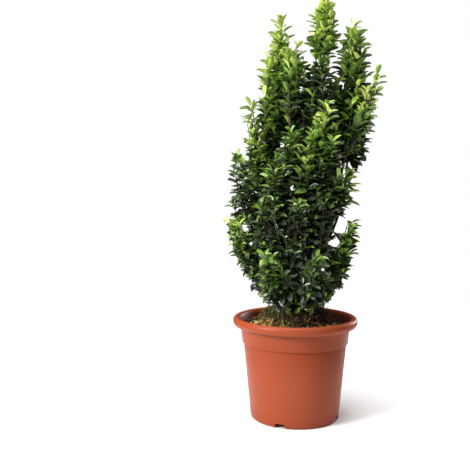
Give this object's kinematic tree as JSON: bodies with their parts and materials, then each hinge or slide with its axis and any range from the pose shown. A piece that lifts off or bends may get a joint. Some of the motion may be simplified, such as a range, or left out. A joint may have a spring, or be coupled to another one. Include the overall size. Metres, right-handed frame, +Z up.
{
  "type": "potted japanese euonymus",
  "caption": "Upright evergreen shrub with small glossy opposite leaves on close vertical shoots, growing in compost in a round plastic pot with a rolled rim.",
  "frame": {"origin": "centre of the flat underside of the pot, on the pot's axis", "axes": "+X to the right and -Y to the front as the picture shows the plant, +Z up along the pot's axis"},
  "size_m": [0.2991, 0.2445, 0.7977],
  "materials": {
    "pot": "satin",
    "compost": "matte",
    "bark": "matte",
    "leaf": "glossy"
  },
  "bodies": {
    "root": {"pot": "pot", "compost": "compost", "trunk": "bark", "bough_top_left": "bark", "bough_top_centre": "bark", "bough_top_right": "bark", "bough_upper_front": "bark", "bough_upper_back": "bark", "bough_mid_left": "bark", "bough_shoulder_left": "bark", "bough_tuft_left": "bark", "bough_sprig_left": "bark", "bough_far_right": "bark", "bough_centre": "bark", "bough_mid_right": "bark", "bough_upper_front_left": "bark", "bough_mid_front_left": "bark", "bough_mid_front_right": "bark", "bough_mid_front": "bark", "bough_mid_back_left": "bark", "bough_mid_back_right": "bark", "bough_low_left": "bark", "bough_low_front_left": "bark", "bough_low_front_right": "bark", "bough_low_right": "bark", "bough_low_back_left": "bark", "bough_low_back_right": "bark", "foliage_top_left": "leaf", "foliage_top_centre": "leaf", "foliage_top_right": "leaf", "foliage_upper_front": "leaf", "foliage_upper_back": "leaf", "foliage_mid_left": "leaf", "foliage_shoulder_left": "leaf", "foliage_tuft_left": "leaf", "foliage_sprig_left": "leaf", "foliage_far_right": "leaf", "foliage_centre": "leaf", "foliage_mid_right": "leaf", "foliage_upper_front_left": "leaf", "foliage_mid_front_left": "leaf", "foliage_mid_front_right": "leaf", "foliage_mid_front": "leaf", "foliage_mid_back_left": "leaf", "foliage_mid_back_right": "leaf", "foliage_low_left": "leaf", "foliage_low_front_left": "leaf", "foliage_low_front_right": "leaf", "foliage_low_right": "leaf", "foliage_low_back_left": "leaf", "foliage_low_back_right": "leaf"}
  },
  "joints": []
}
